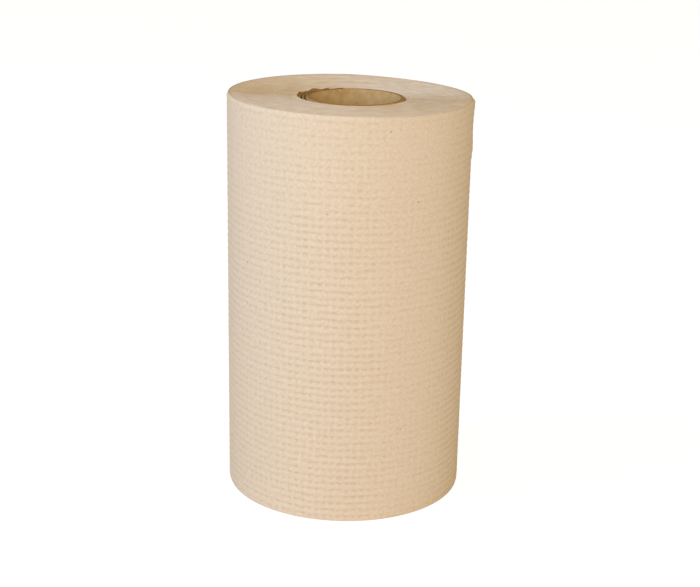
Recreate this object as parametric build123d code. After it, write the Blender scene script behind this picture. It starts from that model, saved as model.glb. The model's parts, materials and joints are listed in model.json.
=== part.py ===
from build123d import *
from math import cos, pi, radians, sin, sqrt
import os

# Core tube
core_bore = 45.0
core_wall = 1.5
core_set_back = 1.5

# Wound web, with its tail on the +X side and its lead on the -X side
web_width = 203.2
roll_radius = 60.8
roll_offset = 2.7
tail_gap = 1.5
lead_gap = 4.9
tail_step = 0.5

# Embossed ridges on the outermost turn
ridge_pitch = 3.68
ridge_height = 0.25

# Turns seen at both ends
turn_pitch = 6.7
groove_width = 1.6
groove_depth = 0.4
rim_land = 2.0
top_dish = 1.3

# Crumpled lead, whose place round the core is in degrees from the tail
lead_thickness = 0.5
lead_clearance = 0.3
lead_leg = 6.0
lead_wave = 0.6
lead_bend = 0.7
lead_start = 104.0
lead_end = 250.0
lead_root = 1.0

core_radius = core_bore / 2 + core_wall
core_length = web_width - core_set_back

# The hole and the roll's outside each cross the X axis once on either side of the core
hole_right = core_radius + tail_gap
hole_left = -core_radius - lead_gap
hole_radius = (hole_right - hole_left) / 2
hole_x = (hole_right + hole_left) / 2
roll_right = roll_radius - roll_offset
roll_left = -roll_radius - roll_offset
turn_count = round((roll_radius - hole_radius) / turn_pitch)


def polar(radius, angle, centre_x=0.0):
    """A point in plan at an angle in radians round a centre on the X axis."""
    return (centre_x + radius * cos(angle), radius * sin(angle))


def outer_face():
    """Plan of the outermost turn: one turn of ridges that grows outwards and steps back down at the tail."""
    ridge_count = round(2 * pi * roll_radius / ridge_pitch)

    def point(ridge, sink):
        turn = ridge / ridge_count
        return polar(roll_radius - tail_step * (1 - turn) - sink, 2 * pi * turn, -roll_offset)

    with BuildSketch() as plan:
        with BuildLine():
            for ridge in range(ridge_count):
                start = point(ridge, ridge_height)
                end = point(ridge + 1, ridge_height)
                ThreePointArc(start, point(ridge + 0.5, 0), end)
            Line(point(ridge_count, ridge_height), point(0, ridge_height))
        make_face()
    return plan.sketch


def half_turn(start_x, end_x):
    """Half a turn, anticlockwise from above, between two points of the X axis."""
    middle = ((start_x + end_x) / 2, (start_x - end_x) / 2)
    return ThreePointArc((start_x, 0), middle, (end_x, 0))


def groove_face(turns):
    """Plan of one turn of the groove between neighbouring plies, begun a number of turns out from the hole."""
    right_pitch = (roll_right - hole_right) / turn_count
    left_pitch = (roll_left - hole_left) / turn_count
    start = hole_right + turns * right_pitch
    left = hole_left + (turns + 0.5) * left_pitch
    end = start + right_pitch
    with BuildSketch() as plan:
        with BuildLine():
            half_turn(start, left)
            half_turn(left, end)
            Line((end, 0), (end + groove_width, 0))
            half_turn(left - groove_width, end + groove_width)
            half_turn(start + groove_width, left - groove_width)
            Line((start + groove_width, 0), (start, 0))
        make_face()
    return plan.sketch


def hole_edge(angle):
    """Distance from the core's axis to the edge of the web's hole at an angle in radians."""
    return hole_x * cos(angle) + sqrt(hole_radius**2 - (hole_x * sin(angle)) ** 2)


def lead_face():
    """Plan of the crumpled lead: one thickness that runs along the hole in waves and doubles back."""
    wave_count = round(core_radius * radians(lead_end - lead_start) / lead_leg / 2)
    inset = lead_clearance + lead_thickness / 2
    out_run = [polar(hole_edge(radians(lead_start)) + lead_root, radians(lead_start))]
    back_run = []
    for leg in range(1, 2 * wave_count + 1):
        angle = radians(lead_start + (lead_end - lead_start) * leg / wave_count / 2)
        sway = lead_wave * (leg % 2)
        out_run.append(polar(hole_edge(angle) - inset - sway, angle))
        back_run.append(polar(core_radius + inset + sway, angle))
    return trace(FilletPolyline(*out_run, *reversed(back_run), radius=lead_bend), lead_thickness)


# Wound web, and the lead inside it
web = extrude(outer_face(), web_width)
web -= Pos(hole_x, 0, web_width / 2) * Cylinder(hole_radius, web_width)
web += extrude(lead_face(), web_width - top_dish)

# The turns sink towards the core at the top
dish_outer = roll_radius - rim_land
dish_inner = min(hole_right + roll_offset, -hole_left - roll_offset)
web -= Pos(-roll_offset, 0, web_width - top_dish / 2) * Cone(dish_inner, dish_outer, top_dish)

# A spiral groove runs between the turns at both ends
for turn in range(turn_count - 1):
    groove = groove_face(turn + 0.5)
    floor = web_width - top_dish * (1 - (turn + 1) / turn_count) - groove_depth
    web -= Pos(0, 0, floor) * extrude(groove, web_width - floor)
    web -= extrude(groove, groove_depth)

core = Pos(0, 0, core_length / 2) * (Cylinder(core_radius, core_length) - Cylinder(core_bore / 2, core_length))

os.makedirs("parts", exist_ok=True)
export_step(web, "parts/towel_web.step")
export_step(core, "parts/core_tube.step")
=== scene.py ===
import json
import logging
from dataclasses import dataclass
from enum import Enum
from math import atan2, ceil, cos, degrees, hypot, pi, radians, sin, tau
from random import Random

import bmesh
import bpy
from mathutils import Matrix, Vector, noise


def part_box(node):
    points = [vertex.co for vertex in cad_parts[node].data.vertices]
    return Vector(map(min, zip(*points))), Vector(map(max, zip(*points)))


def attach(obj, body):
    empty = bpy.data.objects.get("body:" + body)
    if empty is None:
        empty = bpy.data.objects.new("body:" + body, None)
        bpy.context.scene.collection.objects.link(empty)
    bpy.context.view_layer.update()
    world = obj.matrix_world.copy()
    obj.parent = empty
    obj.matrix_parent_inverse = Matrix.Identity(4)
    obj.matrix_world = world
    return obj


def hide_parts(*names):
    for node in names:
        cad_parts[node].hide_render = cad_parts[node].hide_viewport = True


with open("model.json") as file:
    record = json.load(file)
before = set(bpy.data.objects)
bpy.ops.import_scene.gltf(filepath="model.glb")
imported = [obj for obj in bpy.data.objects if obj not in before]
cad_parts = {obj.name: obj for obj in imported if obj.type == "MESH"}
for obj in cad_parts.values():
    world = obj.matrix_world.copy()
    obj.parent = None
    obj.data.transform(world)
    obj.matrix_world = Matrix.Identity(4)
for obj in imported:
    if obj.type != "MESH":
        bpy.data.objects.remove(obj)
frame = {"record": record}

log = logging.getLogger("towel_roll")

# Meshes are shaped in millimetres and become metres when they are finished
MM = 0.001
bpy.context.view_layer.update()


class Node(Enum):
    """The solids that the pieces stand for."""

    WEB = "towel_web"
    CORE = "core_tube"


class Lay(Enum):
    """How a sheet's pattern lies: on its own flat map, or through it where it is crumpled."""

    FLAT = "UV"
    CRUMPLED = "Object"


class Slot(Enum):
    """The material slots of the record."""

    PAPER = "kraft_paper"
    BOARD = "core_board"


def linear(code: str) -> tuple[float, float, float, float]:
    """Turns an sRGB hex colour into linear light.

    Args:
        code: the colour as #RRGGBB.

    Returns:
        Red, green, blue and an alpha of 1.
    """
    channels = [int(code[at:at + 2], 16) / 255 for at in (1, 3, 5)]
    light = [c / 12.92 if c <= 0.04045 else ((c + 0.055) / 1.055) ** 2.4 for c in channels]
    return light[0], light[1], light[2], 1.0


def add_node(
    tree: bpy.types.NodeTree,
    kind: str,
    settings: dict[str | int, object] | None = None,
    links: dict[str | int, bpy.types.NodeSocket] | None = None,
) -> bpy.types.Node:
    """Adds one node to a tree.

    Args:
        tree: the tree of a material or of the world.
        kind: the node's type.
        settings: values by name; the name or number of an input sets that input, and another name sets the
            node itself.
        links: outputs of other nodes, by the name or number of the input that they feed.

    Returns:
        The new node.
    """
    node = tree.nodes.new(kind)
    for name, value in (settings or {}).items():
        if isinstance(name, int) or name in node.inputs:
            node.inputs[name].default_value = value
        else:
            setattr(node, name, value)
    for name, source in (links or {}).items():
        tree.links.new(source, node.inputs[name])
    return node


def new_material(name: str) -> tuple[bpy.types.Material, bpy.types.NodeTree, bpy.types.Node]:
    """Starts a material.

    Args:
        name: what the real material is.

    Returns:
        The material, its node tree and its shader.
    """
    material = bpy.data.materials.new(name)
    material.use_nodes = True
    tree = material.node_tree
    return material, tree, tree.nodes["Principled BSDF"]


def smooth_step(low: float, high: float, value: float) -> float:
    """Gives 0 up to low, 1 from high on and a smooth change between them; high may be the smaller one.

    Args:
        low: where the change starts.
        high: where it ends.
        value: the place.

    Returns:
        A number from 0 to 1.
    """
    part = max(0.0, min(1.0, (value - low) / (high - low)))
    return part * part * (3 - 2 * part)


@dataclass(frozen=True)
class KraftTowel:
    """Unbleached kraft towel paper, creped and embossed.

    Soft, matt and warm tan, cloudy where its fibres lie thicker, with painted shade in the valleys between
    the rows of emboss dots, a fine crepe across the web and a few darker shives.
    """

    name: str = "kraft_towel_paper"
    thin: str = "#E0C39B"
    thick: str = "#E6CCA6"
    valley_shade: str = "#CFB187"
    shive: str = "#8C6A3E"
    cloud_mm: float = 1.5
    loft_mm: float = 2.4
    fibre_mm: float = 0.9
    crepe_mm: float = 0.7
    crepe_stretch: float = 0.14
    shive_mm: float = 2.4
    shive_stretch: float = 0.45
    nap_mm: float = 0.07
    roughness: float = 0.93
    gloss: float = 0.15
    lay: Lay = Lay.FLAT

    def make(self) -> bpy.types.Material:
        """Builds the material.

        Returns:
            The material.
        """
        material, tree, shader = new_material(self.name)
        flat = add_node(tree, "ShaderNodeTexCoord").outputs[self.lay.value]
        # Thick and thin places of the sheet, as clouds of tone
        clouds = add_node(
            tree, "ShaderNodeTexNoise", {"Scale": 1 / (self.cloud_mm * MM), "Detail": 4.0}, {"Vector": flat}
        )
        depth = add_node(
            tree, "ShaderNodeMapRange", {"From Min": 0.36, "From Max": 0.64}, {"Value": clouds.outputs["Fac"]}
        )
        tone = add_node(
            tree,
            "ShaderNodeMix",
            {"data_type": "RGBA", 6: linear(self.thin), 7: linear(self.thick)},
            {0: depth.outputs["Result"]},
        )
        # Painted shade: the valleys between the rows of dots are painted darker, most in line with the middle
        # of each dot, here more and there less
        if self.lay is Lay.FLAT:
            raised = add_node(tree, "ShaderNodeAttribute", {"attribute_name": "emboss"})
            loft = add_node(
                tree,
                "ShaderNodeTexNoise",
                {"Scale": 1 / (self.loft_mm * MM), "Detail": 2.0},
                {"Vector": flat},
            )
            full = add_node(
                tree,
                "ShaderNodeMapRange",
                {"From Min": 0.42, "From Max": 0.66, "To Max": 0.3},
                {"Value": loft.outputs["Fac"]},
            )
            spared = add_node(
                tree,
                "ShaderNodeMath",
                {"operation": "ADD", "use_clamp": True},
                {0: raised.outputs["Fac"], 1: full.outputs["Result"]},
            )
            tone = add_node(
                tree,
                "ShaderNodeMix",
                {"data_type": "RGBA", 6: linear(self.valley_shade)},
                {0: spared.outputs["Value"], 7: tone.outputs[2]},
            )
        # Shives, the darker slivers of wood, longer along the web than across it
        along = add_node(
            tree, "ShaderNodeMapping", {"Scale": (self.shive_stretch, 1.0, 1.0)}, {"Vector": flat}
        )
        slivers = add_node(
            tree,
            "ShaderNodeTexNoise",
            {"Scale": 1 / (self.shive_mm * MM), "Detail": 1.0},
            {"Vector": along.outputs["Vector"]},
        )
        rare = add_node(
            tree,
            "ShaderNodeMapRange",
            {"From Min": 0.79, "From Max": 0.83, "To Max": 0.8},
            {"Value": slivers.outputs["Fac"]},
        )
        flecked = add_node(
            tree,
            "ShaderNodeMix",
            {"data_type": "RGBA", 7: linear(self.shive)},
            {0: rare.outputs["Result"], 6: tone.outputs[2]},
        )
        tree.links.new(flecked.outputs[2], shader.inputs["Base Color"])
        # Crepe runs up the roll as fine wrinkles; it is drawn twice as coarse as it is, so that it shows
        upright = self.crepe_stretch
        squeeze = (1.0, upright, 1.0) if self.lay is Lay.FLAT else (1.0, 1.0, upright)
        across = add_node(tree, "ShaderNodeMapping", {"Scale": squeeze}, {"Vector": flat})
        crepe = add_node(
            tree,
            "ShaderNodeTexNoise",
            {"Scale": 1 / (self.crepe_mm * MM), "Detail": 2.0},
            {"Vector": across.outputs["Vector"]},
        )
        fibres = add_node(
            tree, "ShaderNodeTexNoise", {"Scale": 1 / (self.fibre_mm * MM), "Detail": 3.0}, {"Vector": flat}
        )
        nap = add_node(
            tree,
            "ShaderNodeMath",
            {"operation": "ADD"},
            {0: crepe.outputs["Fac"], 1: fibres.outputs["Fac"]},
        )
        bump = add_node(
            tree,
            "ShaderNodeBump",
            {"Strength": 0.7, "Distance": self.nap_mm * MM},
            {"Height": nap.outputs["Value"]},
        )
        tree.links.new(bump.outputs["Normal"], shader.inputs["Normal"])
        shader.inputs["Roughness"].default_value = self.roughness
        shader.inputs["Specular IOR Level"].default_value = self.gloss
        return material


@dataclass(frozen=True)
class CutPlies:
    """The cut edges of kraft towel plies, at the ends of the roll.

    Fuzzy and matt, with a tone that changes a little from ply to ply, and painted shade, deeper and browner,
    in the grooves between them.
    """

    name: str = "cut_kraft_plies"
    shaded: str = "#DABF99"
    bright: str = "#EFDABB"
    # The colour of the painted shade in the grooves
    between: str = "#D9A85A"
    # A groove's share of a turn on either side of it, and how much of its painted shade shows at the bottom
    gap_part: float = 0.2
    groove_shade_share: float = 0.8
    fuzz_mm: float = 0.8
    fuzz_depth_mm: float = 0.1
    cloud_mm: float = 7.0
    tones_a_turn: float = 1.7
    roughness: float = 0.96
    gloss: float = 0.12

    def make(self) -> bpy.types.Material:
        """Builds the material on the turn number that the mesh carries.

        Returns:
            The material.
        """
        material, tree, shader = new_material(self.name)
        place = add_node(tree, "ShaderNodeTexCoord").outputs["Object"]
        turn = add_node(tree, "ShaderNodeAttribute", {"attribute_name": "turn"})
        # Each ply has its own tone, which drifts along the spiral
        rings = add_node(
            tree,
            "ShaderNodeTexNoise",
            {"noise_dimensions": "1D", "Scale": self.tones_a_turn, "Detail": 2.0},
            {"W": turn.outputs["Fac"]},
        )
        clouds = add_node(
            tree, "ShaderNodeTexNoise", {"Scale": 1 / (self.cloud_mm * MM), "Detail": 4.0}, {"Vector": place}
        )
        both = add_node(
            tree,
            "ShaderNodeMath",
            {"operation": "ADD"},
            {0: rings.outputs["Fac"], 1: clouds.outputs["Fac"]},
        )
        level = add_node(
            tree, "ShaderNodeMapRange", {"From Min": 0.7, "From Max": 1.3}, {"Value": both.outputs["Value"]}
        )
        tone = add_node(
            tree,
            "ShaderNodeMix",
            {"data_type": "RGBA", 6: linear(self.shaded), 7: linear(self.bright)},
            {0: level.outputs["Result"]},
        )
        # The grooves lie at the whole numbers of turns, and the shade at their bottoms is painted in
        away = add_node(tree, "ShaderNodeMath", {"operation": "PINGPONG", 1: 0.5}, {0: turn.outputs["Fac"]})
        gap = add_node(
            tree,
            "ShaderNodeMapRange",
            {"From Max": self.gap_part, "To Min": self.groove_shade_share, "To Max": 0.0},
            {"Value": away.outputs["Value"]},
        )
        groove_shaded = add_node(
            tree,
            "ShaderNodeMix",
            {"data_type": "RGBA", 7: linear(self.between)},
            {0: gap.outputs["Result"], 6: tone.outputs[2]},
        )
        tree.links.new(groove_shaded.outputs[2], shader.inputs["Base Color"])
        fuzz = add_node(
            tree, "ShaderNodeTexNoise", {"Scale": 1 / (self.fuzz_mm * MM), "Detail": 3.0}, {"Vector": place}
        )
        bump = add_node(
            tree,
            "ShaderNodeBump",
            {"Strength": 0.5, "Distance": self.fuzz_depth_mm * MM},
            {"Height": fuzz.outputs["Fac"]},
        )
        tree.links.new(bump.outputs["Normal"], shader.inputs["Normal"])
        shader.inputs["Roughness"].default_value = self.roughness
        shader.inputs["Specular IOR Level"].default_value = self.gloss
        return material


@dataclass(frozen=True)
class CoreBoard:
    """Spirally wound core board.

    Plain recycled board: a deeper brown than the towel, speckled with fibre, smooth and faintly satin, with
    the spiral joint of its strips.
    """

    name: str = "wound_core_board"
    dark: str = "#C29A5C"
    pale: str = "#D1AC6F"
    speck: str = "#8A6739"
    cloud_mm: float = 3.0
    speck_mm: float = 1.1
    speck_depth_mm: float = 0.05
    strip_mm: float = 70.0
    joint_mm: float = 0.8
    roughness: float = 0.8
    gloss: float = 0.25

    def make(self) -> bpy.types.Material:
        """Builds the material round the core's axis.

        Returns:
            The material.
        """
        material, tree, shader = new_material(self.name)
        place = add_node(tree, "ShaderNodeTexCoord").outputs["Object"]
        clouds = add_node(
            tree, "ShaderNodeTexNoise", {"Scale": 1 / (self.cloud_mm * MM), "Detail": 5.0}, {"Vector": place}
        )
        depth = add_node(
            tree, "ShaderNodeMapRange", {"From Min": 0.34, "From Max": 0.66}, {"Value": clouds.outputs["Fac"]}
        )
        tone = add_node(
            tree,
            "ShaderNodeMix",
            {"data_type": "RGBA", 6: linear(self.dark), 7: linear(self.pale)},
            {0: depth.outputs["Result"]},
        )
        specks = add_node(
            tree, "ShaderNodeTexNoise", {"Scale": 1 / (self.speck_mm * MM), "Detail": 1.0}, {"Vector": place}
        )
        rare = add_node(
            tree,
            "ShaderNodeMapRange",
            {"From Min": 0.70, "From Max": 0.80, "To Max": 0.45},
            {"Value": specks.outputs["Fac"]},
        )
        speckled = add_node(
            tree,
            "ShaderNodeMix",
            {"data_type": "RGBA", 7: linear(self.speck)},
            {0: rare.outputs["Result"], 6: tone.outputs[2]},
        )
        # The joint of the strips climbs one strip's width a turn
        turn = add_node(tree, "ShaderNodeTexGradient", {"gradient_type": "RADIAL"}, {"Vector": place})
        height = add_node(tree, "ShaderNodeSeparateXYZ", None, {"Vector": place})
        climb = add_node(
            tree,
            "ShaderNodeMath",
            {"operation": "MULTIPLY_ADD", 1: 1 / (self.strip_mm * MM)},
            {0: height.outputs["Z"], 2: turn.outputs["Fac"]},
        )
        wrapped = add_node(
            tree, "ShaderNodeMath", {"operation": "PINGPONG", 1: 0.5}, {0: climb.outputs["Value"]}
        )
        joint = add_node(
            tree,
            "ShaderNodeMapRange",
            {"From Min": 0.0, "From Max": self.joint_mm / self.strip_mm, "To Min": 0.55, "To Max": 0.0},
            {"Value": wrapped.outputs["Value"]},
        )
        seamed = add_node(
            tree,
            "ShaderNodeMix",
            {"data_type": "RGBA", 7: linear(self.speck)},
            {0: joint.outputs["Result"], 6: speckled.outputs[2]},
        )
        tree.links.new(seamed.outputs[2], shader.inputs["Base Color"])
        bump = add_node(
            tree,
            "ShaderNodeBump",
            {"Strength": 0.3, "Distance": self.speck_depth_mm * MM},
            {"Height": specks.outputs["Fac"]},
        )
        tree.links.new(bump.outputs["Normal"], shader.inputs["Normal"])
        shader.inputs["Roughness"].default_value = self.roughness
        shader.inputs["Specular IOR Level"].default_value = self.gloss
        return material


@dataclass(frozen=True)
class Winding:
    """The plan of the roll in millimetres, round the core's axis, with the tail at +X.

    The turns are drawn half a millimetre apart, about three real plies each, so that they show.
    """

    width: float
    core_length: float
    core_radius: float
    bore_radius: float
    # The outside and the hole, each round an axis of its own
    outer_radius: float = 60.8
    outer_x: float = -2.7
    hole_radius: float = 27.2
    hole_x: float = -1.7
    turn: float = 0.5
    # The top end sinks towards the hole, inside a flat rim
    top_dish: float = 1.3
    rim_land: float = 2.0
    # The outer turns stand out at the tail, most of all a few degrees behind it and near the top
    flare: float = 1.05
    flare_turn: float = 8.0
    flare_reach: float = 34.0
    flare_depth: float = 32.0
    # They bulge just below the rim and again lower down, and the flare dies away, in parts of its depth
    bulge: float = 0.72
    bulge_swing: float = 0.3
    bulge_count: float = 1.33
    bulge_start: float = 0.07
    flare_fade: float = 0.35
    flare_end: tuple[float, float] = (0.78, 1.05)
    # They are looser towards the top, and their rim leans in
    loose: float = 0.35
    rim_lean: float = 0.3
    rim_depth: float = 1.5
    shoulder: float = 0.05
    # The top end is cut askew: it falls towards the tail and rises by a slope on the other side
    droop: float = 0.1
    sink: float = 0.9
    sink_reach: float = 27.0
    lift: float = 0.0125
    sunk_hole: float = 0.4

    @classmethod
    def from_frame(cls) -> "Winding":
        """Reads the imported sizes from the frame.

        Returns:
            The plan.
        """
        web_low, web_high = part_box(Node.WEB.value)
        core_low, core_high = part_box(Node.CORE.value)
        bore = next(mount for mount in frame["record"]["mounts"] if mount["name"] == "spindle_bore")
        return cls(
            width=(web_high.z - web_low.z) / MM,
            core_length=(core_high.z - core_low.z) / MM,
            core_radius=(core_high.x - core_low.x) / 2 / MM,
            bore_radius=bore["dims"]["r_mm"],
        )

    def top(self, radius: float) -> float:
        """Gives the height of the dished top.

        Args:
            radius: the distance from the roll's own axis.

        Returns:
            The height above the base in millimetres.
        """
        edge = self.outer_radius - self.rim_land
        part = max(0.0, min(1.0, (edge - radius) / (edge - self.hole_radius)))
        return self.width - self.top_dish * part

    def flared(self, angle: float, height: float) -> float:
        """Gives how far the outer turns stand out at the tail, near the top of the roll.

        Args:
            angle: the place round the roll, 0 at the tail.
            height: the height above the base.

        Returns:
            The distance in millimetres.
        """
        down = (self.width - height) / self.flare_depth
        bulge = self.bulge + self.bulge_swing * cos(tau * self.bulge_count * (down - self.bulge_start))
        drop = (1 - self.flare_fade * down) * (1 - smooth_step(*self.flare_end, down))
        return self.flare * self.near_tail(angle) * bulge * drop

    def near_tail(self, angle: float) -> float:
        """Gives 1 at the tail, falling to 0 round the roll on either side of it."""
        turned = (angle - radians(self.flare_turn) + pi) % tau - pi
        return 1 - smooth_step(0, self.flare_reach, abs(turned) * self.outer_radius)

    def leaned(self, angle: float, height: float) -> float:
        """Gives how far the outer turns lean in at their top rim, most of all at the tail."""
        lean = self.rim_lean + self.shoulder * self.near_tail(angle)
        return lean * smooth_step(self.rim_depth, 0, self.width - height)

    def sunk(self, angle: float, radius: float) -> float:
        """Gives how far the top lies below its level, as the end was cut a little askew.

        Args:
            angle: the place round the roll, 0 at the tail.
            radius: the distance from the roll's own axis.

        Returns:
            The distance in millimetres, less than 0 on the side away from the tail.
        """
        across = radius * cos(angle)
        fall = self.sink * sin(across / self.sink_reach) if across > 0 else self.lift * across
        out = smooth_step(self.hole_radius, self.outer_radius, radius)
        return fall * (self.sunk_hole + (1 - self.sunk_hole) * out)

    def hole_edge(self, angle: float) -> float:
        """Gives the distance from the core's axis to the wall of the hole at an angle."""
        across = self.hole_x * sin(angle)
        return self.hole_x * cos(angle) + (self.hole_radius ** 2 - across ** 2) ** 0.5


@dataclass
class Piece:
    """A piece of the roll, shaped in millimetres and dressed in metres."""

    plan: Winding
    name: str = ""
    node: Node = Node.WEB
    slot: Slot = Slot.PAPER
    sharp: float = 40.0

    def build(self) -> bmesh.types.BMesh:
        """Shapes the piece in millimetres."""
        raise NotImplementedError

    def dress(self, *materials: bpy.types.Material) -> bpy.types.Object:
        """Makes the object, gives it its finishes and sets it in the frame.

        Args:
            materials: the piece's finishes, in the order in which its faces number them.

        Returns:
            The finished object.
        """
        mesh = self.build()
        bmesh.ops.scale(mesh, vec=(MM, MM, MM), verts=mesh.verts)
        data = bpy.data.meshes.new(self.name)
        mesh.to_mesh(data)
        mesh.free()
        data.shade_smooth()
        data.set_sharp_from_angle(angle=radians(self.sharp))
        for material in materials:
            data.materials.append(material)
        piece = bpy.data.objects.new(self.name, data)
        bpy.context.scene.collection.objects.link(piece)
        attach(piece, "root")
        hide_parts(self.node.value)
        triangles = sum(len(face.vertices) - 2 for face in data.polygons)
        log.info("%s: %d triangles", self.name, triangles)
        return piece


@dataclass
class WoundTurns(Piece):
    """The turns of the web inside the outermost one, one long spiral that shows at both ends."""

    name: str = "wound_turns"
    sharp: float = 70.0
    # Room for the outermost turn, and the groove between plies with its share of a turn on either side
    skin: float = 0.68
    groove: float = 0.22
    land: float = 0.2
    # Plies stand proud by turns, and the ends wave up and down, but less near the rim
    stray: float = 0.16
    sag: float = 0.2
    sag_length: float = 34.0
    calm_land: float = 1.2
    calm_reach: float = 6.0
    # The innermost plies stand up as a lip, and pucker where the lead pulls at them
    lip: float = 0.12
    lip_reach: tuple[float, float] = (0.3, 1.6)
    pucker: float = 0.7
    pucker_turn: float = 138.0
    pucker_spread: tuple[float, float] = (0.4, 0.8)
    pucker_reach: tuple[float, float] = (0.2, 2.6)
    pucker_lean: float = 0.6
    # Painted shade on the wall of the hole beside the lead, in degrees round the core
    shade_turn: float = 184.0
    shade_reach: float = 66.0
    # The outermost plies lie a little lower, and flare with the outermost turn
    rim_drop: float = 0.15
    rim_reach: tuple[float, float] = (5.0, 0.7)
    flare_width: float = 10.0
    wall_cuts: int = 24
    steps: int = 168

    def build(self) -> bmesh.types.BMesh:
        """Spins the section of the plies into a spiral.

        Returns:
            The mesh, in millimetres.
        """
        plan = self.plan
        first = plan.hole_radius - plan.turn / 2
        count = int((plan.outer_radius - self.skin - plan.turn - first) / plan.turn)
        last = first + count * plan.turn
        mesh = bmesh.new()
        corners = [mesh.verts.new(at) for at in (
            (first, 0, 0), (last, 0, 0), (last, 0, plan.width), (first, 0, plan.width)
        )]
        ring = [mesh.edges.new((corners[at - 1], corners[at])) for at in range(4)]
        bmesh.ops.subdivide_edges(mesh, edges=[ring[1], ring[3]], cuts=3 * count - 1)
        bmesh.ops.subdivide_edges(mesh, edges=[ring[2]], cuts=self.wall_cuts)
        self._groove(mesh, first)
        spun = bmesh.ops.spin(
            mesh,
            geom=mesh.verts[:] + mesh.edges[:],
            cent=(0, 0, 0),
            axis=(0, 0, 1),
            angle=tau,
            steps=self.steps,
        )
        end = {item for item in spun["geom_last"] if isinstance(item, bmesh.types.BMVert)}
        self._wind(mesh, end, first)
        # The spiral closes on itself one ply further out, which leaves one step inside and one outside
        bmesh.ops.remove_doubles(mesh, verts=mesh.verts, dist=0.001)
        bmesh.ops.holes_fill(mesh, edges=[edge for edge in mesh.edges if edge.is_boundary], sides=0)
        bmesh.ops.recalc_face_normals(mesh, faces=mesh.faces)
        # The wall of the hole is plain paper, and brown with painted shade beside the lead
        for face in mesh.faces:
            middle = face.calc_center_median()
            inner = hypot(middle.x - plan.hole_x, middle.y) < plan.hole_radius + plan.turn
            if inner and abs(face.normal.z) < 0.1:
                turned = abs(degrees(atan2(middle.y, middle.x)) % 360 - self.shade_turn)
                face.material_index = 1 if turned < self.shade_reach else 2
        return mesh

    def _groove(self, mesh: bmesh.types.BMesh, first: float) -> None:
        """Cuts a groove between the plies of the section.

        Args:
            mesh: the section, whose ends have three points a ply.
            first: the radius at which the section starts.
        """
        plan = self.plan
        ends = [vert for vert in mesh.verts if min(vert.co.z, plan.width - vert.co.z) < 0.001]
        for vert in ends:
            place = round((vert.co.x - first) / plan.turn * 3)
            ply, part = divmod(place, 3)
            shift = (0.0, self.land, 1 - self.land)[part]
            vert.co.x = first + (ply + shift) * plan.turn
            if part == 0:
                vert.co.z += self.groove if vert.co.z < plan.width / 2 else -self.groove

    def _wind(self, mesh: bmesh.types.BMesh, end: set[bmesh.types.BMVert], first: float) -> None:
        """Moves the spun rings into a spiral that is off the core's centre, dished and a little uneven.

        Args:
            mesh: the spun section.
            end: the points of the last step, which lie on the first ones.
            first: the radius at which the section starts.
        """
        plan = self.plan
        number = mesh.verts.layers.float.new("turn")
        for vert in mesh.verts:
            angle = tau if vert in end else atan2(vert.co.y, vert.co.x) % tau
            if angle > tau - 0.001 and vert not in end:
                angle = 0.0
            radius = hypot(vert.co.x, vert.co.y) + plan.turn * angle / tau
            turns = (radius - first) / plan.turn
            vert[number] = turns
            out = (radius - plan.hole_radius) / (plan.outer_radius - plan.hole_radius)
            centre = plan.hole_x + (plan.outer_x - plan.hole_x) * max(0.0, min(1.0, out))
            ply = int((radius - first - plan.turn * angle / tau) / plan.turn + 0.01) + angle / tau
            proud = self.stray * noise.noise(Vector((ply * 2.3, 4.1, 0.7)))
            wave = self.sag * noise.noise(
                Vector((vert.co.x / self.sag_length, vert.co.y / self.sag_length, 2.5))
            )
            inside = min(1.0, max(0.0, plan.outer_radius - self.calm_land - radius) / self.calm_reach)
            lip = self.lip * (1 - smooth_step(*self.lip_reach, radius - plan.hole_radius))
            outer = smooth_step(plan.outer_radius - self.flare_width, plan.outer_radius, radius)
            level = vert.co.z
            if level > plan.width - 1:
                vert.co.z += plan.top(radius) - plan.width + (proud + wave) * inside + lip
                edge = smooth_step(*self.rim_reach, plan.outer_radius - radius)
                low = self.rim_drop + plan.droop * plan.near_tail(angle)
                vert.co.z -= low * edge + plan.sunk(angle, radius)
                loose = self.pucker * (1 - smooth_step(*self.pucker_reach, radius - plan.hole_radius))
                loose *= 1 - smooth_step(*self.pucker_spread, abs(angle - radians(self.pucker_turn)))
                loose *= noise.noise(Vector((cos(angle) * 6, sin(angle) * 6, 3.3)))
                vert.co.z += loose
                radius += loose * self.pucker_lean
            elif level < 1:
                vert.co.z += abs(proud) + abs(wave) * 0.5
            give = plan.loose * level / plan.width + plan.flared(angle, level)
            radius += (give - plan.leaned(angle, level)) * outer
            vert.co.x = centre + radius * cos(angle)
            vert.co.y = radius * sin(angle)


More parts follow.
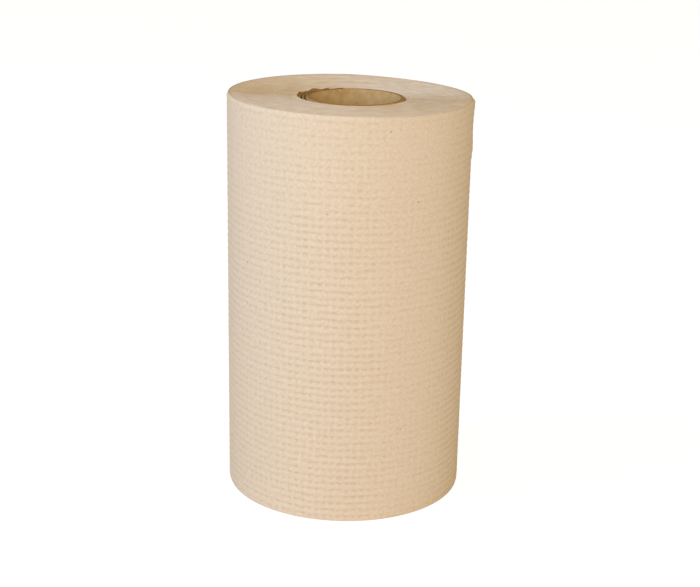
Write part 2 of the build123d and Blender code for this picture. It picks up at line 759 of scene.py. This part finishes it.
@dataclass
class OuterTurn(Piece):
    """The outermost turn of the web, embossed with rows of dots, with its tail lifted a little at the top."""

    name: str = "outer_turn"
    # Columns of dots round the roll, and those that lie under the tail
    columns: int = 104
    tucked: int = 3
    tucked_height: float = 0.3
    row_pitch: float = 3.53
    paper: float = 0.4
    # The dots, the bridges between them and the cuts along and across each one
    dot_height: float = 0.42
    dot_link: float = 0.35
    dot_stray: float = 0.5
    stray_length: float = 4.0
    dot_cuts: tuple[int, int] = (2, 3)
    # A dot's lean, below 1 where it is steeper below, and how deep the web is pressed round it
    dot_lean: float = 0.6
    press: float = 0.8
    press_swing: float = 0.5
    press_least: float = 0.2
    # Where the emboss is worn: near the top, before the tail and round to the left, in millimetres
    worn: float = 0.4
    worn_down: tuple[float, float] = (5.0, 70.0)
    worn_along: float = -60.0
    worn_spread: tuple[float, float] = (10.0, 30.0)
    worn_left: float = 0.25
    worn_left_along: tuple[float, float] = (-115.0, -145.0)
    edge_fade: float = 1.4
    rim_round: float = 0.07
    # Slow drift of the rows, and ripples of the slack web
    drift: float = 0.35
    drift_length: float = 22.0
    ripple: float = 0.08
    calm_reach: float = 6.0
    # The tail's edge lifts and its corner droops
    tail_lift: float = 0.1
    tail_reach: float = 7.0
    corner_droop: float = 0.5
    top_give: float = 8.0

    def build(self) -> bmesh.types.BMesh:
        """Embosses the web flat and rolls it up.

        Returns:
            The mesh, in millimetres.
        """
        plan = self.plan
        count = self.columns + self.tucked
        rows = ceil(plan.width / self.row_pitch)
        length = count * tau * plan.outer_radius / self.columns
        mesh = bmesh.new()
        bmesh.ops.create_grid(mesh, x_segments=count, y_segments=rows, size=0.5)
        bmesh.ops.scale(mesh, vec=(length, rows * self.row_pitch, 1), verts=mesh.verts)
        # The first and the last row are cut through
        for vert in mesh.verts:
            vert.co.y = max(-plan.width / 2, min(plan.width / 2, vert.co.y))
        bmesh.ops.translate(mesh, vec=(-length / 2, plan.width / 2, 0), verts=mesh.verts)
        bmesh.ops.solidify(mesh, geom=mesh.faces[:], thickness=self.paper)
        # The outer side alone is divided finely enough for the dots
        for axis, cuts in enumerate(self.dot_cuts):
            lines = [
                edge
                for edge in mesh.edges
                if min(vert.co.z for vert in edge.verts) > -0.001
                and abs(edge.verts[0].co[axis] - edge.verts[1].co[axis]) > 0.01
            ]
            bmesh.ops.subdivide_edges(mesh, edges=lines, cuts=cuts, use_grid_fill=True)
        self._round_rims(mesh)
        flat = mesh.loops.layers.uv.new("flat")
        for face in mesh.faces:
            for loop in face.loops:
                loop[flat].uv = loop.vert.co.xy * MM
        self._roll_up(mesh)
        bmesh.ops.recalc_face_normals(mesh, faces=mesh.faces)
        return mesh

    def _dot(self, along: float, height: float) -> tuple[float, float]:
        """Gives the emboss at a place on the flat web.

        Args:
            along: the place along the web, 0 at its tail and less than that before it.
            height: the place across the web.

        Returns:
            How far it stands out, as a part of the tallest dot's height, and how little painted shade the
            valleys between the rows give it.
        """
        plan = self.plan
        column, across = divmod(along * self.columns / tau / plan.outer_radius + 0.001, 1)
        middle = (height - plan.width / 2) / self.row_pitch
        row, up = divmod(middle + ceil(plan.width / self.row_pitch) / 2 + 0.001, 1)
        # Each dot is steeper below than above, and lower bridges join the dots of a row
        dome = self.dot_link + (1 - self.dot_link) * sin(pi * across)
        rise = max(0.0, sin(pi * up**self.dot_lean))
        # Some dots are pressed deeper than others, and handling has flattened some
        press = self.press + self.press_swing * noise.noise(Vector((column * 0.7, row * 0.9, 6.1)))
        kept = 1 - self.worn
        kept_up = kept + self.worn * smooth_step(*self.worn_down, plan.width - height)
        kept_along = kept + self.worn * smooth_step(*self.worn_spread, abs(along - self.worn_along))
        kept_along -= self.worn_left * smooth_step(*self.worn_left_along, along)
        # The emboss fades towards the cut edges
        fade = smooth_step(0, self.edge_fade, min(height, plan.width - height, -along))
        depth = max(self.press_least, min(1.0, press)) * kept_up * kept_along
        # The second value masks the painted shade in the valleys between the rows, darkest in line with each
        # dot's middle
        return fade * (1 - depth * (1 - rise * dome)), 1 - depth * (1 - rise) * dome

    def _round_rims(self, mesh: bmesh.types.BMesh) -> None:
        """Rounds the cut edges of the flat web.

        Args:
            mesh: the flat web, with its outer side at a height of 0.
        """
        width = self.plan.width
        rims = [
            edge
            for edge in mesh.edges
            if all(abs(vert.co.z) < 0.001 for vert in edge.verts)
            and (
                all(vert.co.y < 0.001 for vert in edge.verts)
                or all(vert.co.y > width - 0.001 for vert in edge.verts)
                or all(vert.co.x > -0.001 for vert in edge.verts)
            )
        ]
        bmesh.ops.bevel(
            mesh, geom=rims, offset=self.rim_round, segments=2, profile=0.5, affect="EDGES", material=-1
        )

    def _roll_up(self, mesh: bmesh.types.BMesh) -> None:
        """Embosses the flat web and rolls it round the turns below it, with its tail at +X.

        Args:
            mesh: the flat web, with its tail at 0.
        """
        plan = self.plan
        # The emboss layer carries the mask of the painted shade in the valleys between the rows
        raised = mesh.verts.layers.float.new("emboss")
        for vert in mesh.verts:
            along, height, out = vert.co
            angle = tau + along / plan.outer_radius
            if out > -0.001:
                dot, vert[raised] = self._dot(along, height)
                out = self.dot_height * dot * (1.0 if angle > 0 else self.tucked_height)
            # The dots stray from their grid, the rows drift a little and the web is not quite taut
            wander = Vector((along / self.drift_length, height / self.drift_length, 1.3))
            stray = Vector((along / self.stray_length, height / self.stray_length, 2.9))
            rim = smooth_step(0, self.calm_reach, min(height, plan.width - height))
            tail = max(0.0, 1 + along / self.tail_reach) ** 2
            radius = plan.outer_radius - plan.turn * (1 - angle / tau) + out - self.dot_height
            radius += plan.flared(angle, height) - plan.leaned(angle, height)
            radius += plan.loose * height / plan.width + self.tail_lift * tail
            radius -= self.ripple * rim * (1 + noise.noise(wander * 1.7)) / 2
            top = smooth_step(self.top_give, 0, plan.width - height)
            height += rim * (self.drift * noise.noise(wander) + self.dot_stray * noise.noise(stray))
            angle += rim * self.dot_stray * noise.noise(stray * 1.1) / plan.outer_radius
            low = self.corner_droop * tail + plan.droop * plan.near_tail(angle)
            height -= (low + plan.sunk(angle, radius)) * top
            vert.co = (plan.outer_x + radius * cos(angle), radius * sin(angle), height)


@dataclass
class CrumpledLead(Piece):
    """The loose first ply of the web.

    It runs along the hole in waves and doubles back twice towards the core.
    """

    name: str = "crumpled_lead"
    sharp: float = 60.0
    # Its stretch round the core in degrees, and each run's share of the way in to the core
    start: float = 104.0
    stop: float = 250.0
    waves: int = 6
    shares: tuple[float, ...] = (0.15, 0.55, 0.84)
    ply: float = 0.3
    clearance: float = 0.1
    sway: float = 0.2
    sway_stray: float = 0.03
    wave_stray: float = 0.25
    wave_round: float = 1.6
    fold_round: float = 0.45
    levels: int = 30
    # Dents, and how far its top edge stands below the plies and slumps raggedly
    crush: float = 0.5
    crush_length: float = 5.0
    crush_rise: float = 14.0
    set_down: float = 0.2
    slump: float = 1.6
    ragged_length: float = 4.0

    def build(self) -> bmesh.types.BMesh:
        """Folds the ply back on itself and crushes it.

        Returns:
            The mesh, in millimetres.
        """
        plan = self.plan
        pick = Random(11)
        mesh = bmesh.new()
        runs: list[list[bmesh.types.BMVert]] = [[] for _ in self.shares]
        for leg in range(2 * self.waves + 1):
            place = leg + pick.uniform(-self.wave_stray, self.wave_stray)
            part = max(0.0, min(1.0, place / self.waves / 2))
            angle = radians(self.start + (self.stop - self.start) * part)
            gap = plan.hole_edge(angle) - plan.core_radius
            bend = self.sway * (leg % 2 - 0.5) + pick.uniform(-self.sway_stray, self.sway_stray)
            for run, share in zip(runs, self.shares):
                radius = plan.hole_edge(angle) - gap * (share + bend * min(1.0, 2 - 2 * share))
                run.append(mesh.verts.new((radius * cos(angle), radius * sin(angle), 0)))
        points = [vert for at, run in enumerate(runs) for vert in (run[::-1] if at % 2 else run)]
        folds = [vert for run in runs for vert in (run[0], run[-1])]
        for before, after in zip(points, points[1:]):
            mesh.edges.new((before, after))
        turns = [vert for vert in points[1:-1] if vert in folds]
        waves = [vert for vert in points if vert not in folds]
        for verts, size in ((waves, self.wave_round), (turns, self.fold_round)):
            bmesh.ops.bevel(
                mesh, geom=verts, offset=size, segments=4, profile=0.5, affect="VERTICES", material=-1
            )
        raised = bmesh.ops.extrude_edge_only(mesh, edges=mesh.edges[:])["geom"]
        top = [item for item in raised if isinstance(item, bmesh.types.BMVert)]
        bmesh.ops.translate(mesh, vec=(0, 0, 1), verts=top)
        upright = [edge for edge in mesh.edges if abs(edge.verts[0].co.z - edge.verts[1].co.z) > 0.5]
        bmesh.ops.subdivide_edges(mesh, edges=upright, cuts=self.levels, use_grid_fill=True)
        self._crush(mesh)
        bmesh.ops.recalc_face_normals(mesh, faces=mesh.faces)
        bmesh.ops.solidify(mesh, geom=mesh.faces[:], thickness=self.ply)
        bmesh.ops.recalc_face_normals(mesh, faces=mesh.faces)
        # Its lower edge stands on the plane of the roll's base
        for vert in mesh.verts:
            vert.co.z = max(0.0, vert.co.z)
        # Its sides take the painted shade, and its cut edge a paler brown
        for face in mesh.faces:
            face.material_index = 1 if abs(face.normal.z) > 0.7 else 0
        return mesh

    def _crush(self, mesh: bmesh.types.BMesh) -> None:
        """Stands the ply up to the dished top and crushes it within its gap.

        Args:
            mesh: the folded ply, drawn 1 high.
        """
        plan = self.plan
        rise = plan.top(plan.hole_radius)
        for vert in mesh.verts:
            part = 1 - (1 - vert.co.z) ** 2
            angle = atan2(vert.co.y, vert.co.x) % tau
            radius = hypot(vert.co.x, vert.co.y)
            spot = Vector((vert.co.x / self.crush_length, vert.co.y / self.crush_length, 0))
            spot.z = part * rise / self.crush_rise
            radius += self.crush * noise.noise(spot)
            angle += self.crush / radius * noise.noise(spot + Vector((9.2, 3.1, 5.7)))
            half = self.ply / 2 + self.clearance
            radius = max(plan.core_radius + half, min(plan.hole_edge(angle) - half, radius))
            # It stands high at the wall of the hole and slumps towards the core
            out = (radius - plan.core_radius) / (plan.hole_edge(angle) - plan.core_radius)
            edge = Vector((vert.co.x / self.ragged_length, vert.co.y / self.ragged_length, 7.7))
            ragged = 0.6 + noise.noise(edge)
            drop = self.set_down + self.slump * (1 - out) * max(0.0, ragged)
            vert.co = (radius * cos(angle), radius * sin(angle), part * (rise - drop))


@dataclass
class CoreTube(Piece):
    """The wound board tube in the middle of the roll."""

    name: str = "core_tube_board"
    node: Node = Node.CORE
    slot: Slot = Slot.BOARD
    edge: float = 0.25
    steps: int = 144

    def build(self) -> bmesh.types.BMesh:
        """Spins the wall of the tube, with softened edges.

        Returns:
            The mesh, in millimetres.
        """
        plan = self.plan
        mesh = bmesh.new()
        corners = [mesh.verts.new(at) for at in (
            (plan.bore_radius, 0, 0),
            (plan.core_radius, 0, 0),
            (plan.core_radius, 0, plan.core_length),
            (plan.bore_radius, 0, plan.core_length),
        )]
        for at in range(4):
            mesh.edges.new((corners[at - 1], corners[at]))
        bmesh.ops.bevel(
            mesh, geom=corners, offset=self.edge, segments=3, profile=0.5, affect="VERTICES", material=-1
        )
        bmesh.ops.spin(
            mesh,
            geom=mesh.verts[:] + mesh.edges[:],
            cent=(0, 0, 0),
            axis=(0, 0, 1),
            angle=tau,
            steps=self.steps,
            use_merge=True,
        )
        bmesh.ops.remove_doubles(mesh, verts=mesh.verts, dist=0.001)
        bmesh.ops.recalc_face_normals(mesh, faces=mesh.faces)
        # The cut edges are darker than the liner
        for face in mesh.faces:
            face.material_index = 1 if abs(face.normal.z) > 0.3 else 0
        return mesh


@dataclass(frozen=True)
class SoftLight:
    """A large soft lamp that faces the roll."""

    name: str
    azimuth: float
    elevation: float
    distance: float
    size: float
    watts: float
    colour: str

    def place(self, aim: Vector) -> None:
        """Hangs the lamp.

        Args:
            aim: the point that it faces.
        """
        data = bpy.data.lights.new(self.name, "AREA")
        data.shape = "SQUARE"
        data.size = self.size
        data.energy = self.watts
        data.color = linear(self.colour)[:3]
        lamp = bpy.data.objects.new(self.name, data)
        side, rise = radians(self.azimuth), radians(self.elevation)
        back = Vector((sin(side) * cos(rise), -cos(side) * cos(rise), sin(rise)))
        lamp.location = aim + back * self.distance
        lamp.rotation_mode = "QUATERNION"
        lamp.rotation_quaternion = back.to_track_quat("Z", "Y")
        bpy.context.scene.collection.objects.link(lamp)


@dataclass(frozen=True)
class Studio:
    """The pale floor, the soft light and the white surround."""

    floor_size: float = 8.0
    ambient: float = 0.52
    ambient_tone: str = "#FFEEBC"
    floor_bounce: float = 0.8
    floor_tone: float = 0.2
    floor_glow: float = 0.9
    lamps: tuple[SoftLight, ...] = (
        SoftLight("front_lamp", 5, 16, 1.9, 1.1, 23.5, "#D2DDFF"),
        SoftLight("left_lamp", -75, 36, 1.9, 1.1, 27.0, "#99BEFF"),
    )

    def build(self, aim: Vector) -> None:
        """Sets up the floor, the lamps and the world.

        Args:
            aim: the point that the lamps face.
        """
        self._floor()
        self._world()
        for lamp in self.lamps:
            lamp.place(aim)

    def _seen(self, tree: bpy.types.NodeTree) -> bpy.types.NodeSocket:
        """Gives 1 for rays that show the background, straight on or in a gloss or glass.

        Args:
            tree: the tree to add the nodes to.

        Returns:
            The output that carries the value.
        """
        path = add_node(tree, "ShaderNodeLightPath")
        gloss = add_node(
            tree,
            "ShaderNodeMath",
            {"operation": "MAXIMUM"},
            {0: path.outputs["Is Camera Ray"], 1: path.outputs["Is Glossy Ray"]},
        )
        glass = add_node(
            tree,
            "ShaderNodeMath",
            {"operation": "MAXIMUM"},
            {0: gloss.outputs["Value"], 1: path.outputs["Is Transmission Ray"]},
        )
        return glass.outputs["Value"]

    def _floor(self) -> None:
        """Lays the floor, white to the eye with a faint shadow."""
        mesh = bmesh.new()
        bmesh.ops.create_grid(mesh, x_segments=1, y_segments=1, size=self.floor_size / 2)
        data = bpy.data.meshes.new("floor")
        mesh.to_mesh(data)
        mesh.free()
        material, tree, shader = new_material("white_floor")
        tree.nodes.remove(shader)
        # It throws light back at the roll as a pale floor, and shows as white that the shadow dims a little
        plain = add_node(tree, "ShaderNodeBsdfDiffuse", {"Color": (*[self.floor_bounce] * 3, 1.0)})
        shade = add_node(tree, "ShaderNodeBsdfDiffuse", {"Color": (*[self.floor_tone] * 3, 1.0)})
        glow = add_node(tree, "ShaderNodeEmission", {"Strength": self.floor_glow})
        shown = add_node(
            tree, "ShaderNodeAddShader", None, {0: shade.outputs["BSDF"], 1: glow.outputs["Emission"]}
        )
        either = add_node(
            tree,
            "ShaderNodeMixShader",
            None,
            {0: self._seen(tree), 1: plain.outputs["BSDF"], 2: shown.outputs["Shader"]},
        )
        tree.links.new(either.outputs["Shader"], tree.nodes["Material Output"].inputs["Surface"])
        data.materials.append(material)
        floor = bpy.data.objects.new("floor", data)
        bpy.context.scene.collection.objects.link(floor)

    def _world(self) -> None:
        """Lights the scene evenly from all round and shows white behind it."""
        world = bpy.data.worlds.new("white_surround")
        bpy.context.scene.world = world
        world.use_nodes = True
        tree = world.node_tree
        tree.nodes.clear()
        soft = add_node(
            tree, "ShaderNodeBackground", {"Color": linear(self.ambient_tone), "Strength": self.ambient}
        )
        white = add_node(tree, "ShaderNodeBackground", {"Color": linear("#FFFFFF"), "Strength": 1.0})
        either = add_node(
            tree,
            "ShaderNodeMixShader",
            None,
            {0: self._seen(tree), 1: soft.outputs["Background"], 2: white.outputs["Background"]},
        )
        out = add_node(tree, "ShaderNodeOutputWorld")
        tree.links.new(either.outputs["Shader"], out.inputs["Surface"])


@dataclass(frozen=True)
class Viewpoint:
    """The camera: where it stands in millimetres, where it looks and how long its lens is."""

    place: tuple[float, float, float] = (-2.7, -725.3, 329.4)
    pan: float = 0.15
    tilt: float = 17.58
    roll: float = 1.14
    focal_pixels: float = 1476.3
    image_width: int = 700

    def make(self) -> None:
        """Makes the camera and looks through it."""
        data = bpy.data.cameras.new("viewpoint")
        data.sensor_width = 36.0
        data.lens = self.focal_pixels / self.image_width * data.sensor_width
        data.clip_start = 0.05
        camera = bpy.data.objects.new("viewpoint", data)
        turn = Matrix.Rotation(radians(-self.pan), 4, "Z") @ Matrix.Rotation(radians(90 - self.tilt), 4, "X")
        turn = turn @ Matrix.Rotation(radians(self.roll), 4, "Z")
        camera.matrix_world = Matrix.Translation(Vector(self.place) * MM) @ turn
        bpy.context.scene.collection.objects.link(camera)
        bpy.context.scene.camera = camera


def main() -> None:
    """Builds the roll, its light and its camera."""
    logging.basicConfig(level=logging.INFO, format="%(name)s %(message)s")
    scene = bpy.context.scene
    scene.view_settings.view_transform = "Standard"
    plan = Winding.from_frame()
    Viewpoint().make()
    Studio().build(Vector((0, 0, plan.width / 2)) * MM)
    # Painted shade browns the lead and the wall of the hole beside it; the lead's edge takes a paler brown,
    # and the rest of the wall is plain paper
    painted_shade_paper = KraftTowel(name="kraft_paper_painted_shade", thin="#9C7035", thick="#B28645", lay=Lay.CRUMPLED).make()
    loose = KraftTowel(name="loose_kraft_edge", thin="#C89E62", thick="#D6B27A", lay=Lay.CRUMPLED).make()
    inner = KraftTowel(name="inner_kraft_paper", thin="#E2C091", thick="#E8C99C", lay=Lay.CRUMPLED).make()
    WoundTurns(plan).dress(CutPlies().make(), painted_shade_paper, inner)
    OuterTurn(plan).dress(KraftTowel().make())
    CrumpledLead(plan).dress(painted_shade_paper, loose)
    cut = CoreBoard(name="cut_core_board", dark="#8C6433", pale="#A27A44", gloss=0.04).make()
    CoreTube(plan).dress(CoreBoard().make(), cut)


if __name__ == "__main__":
    main()
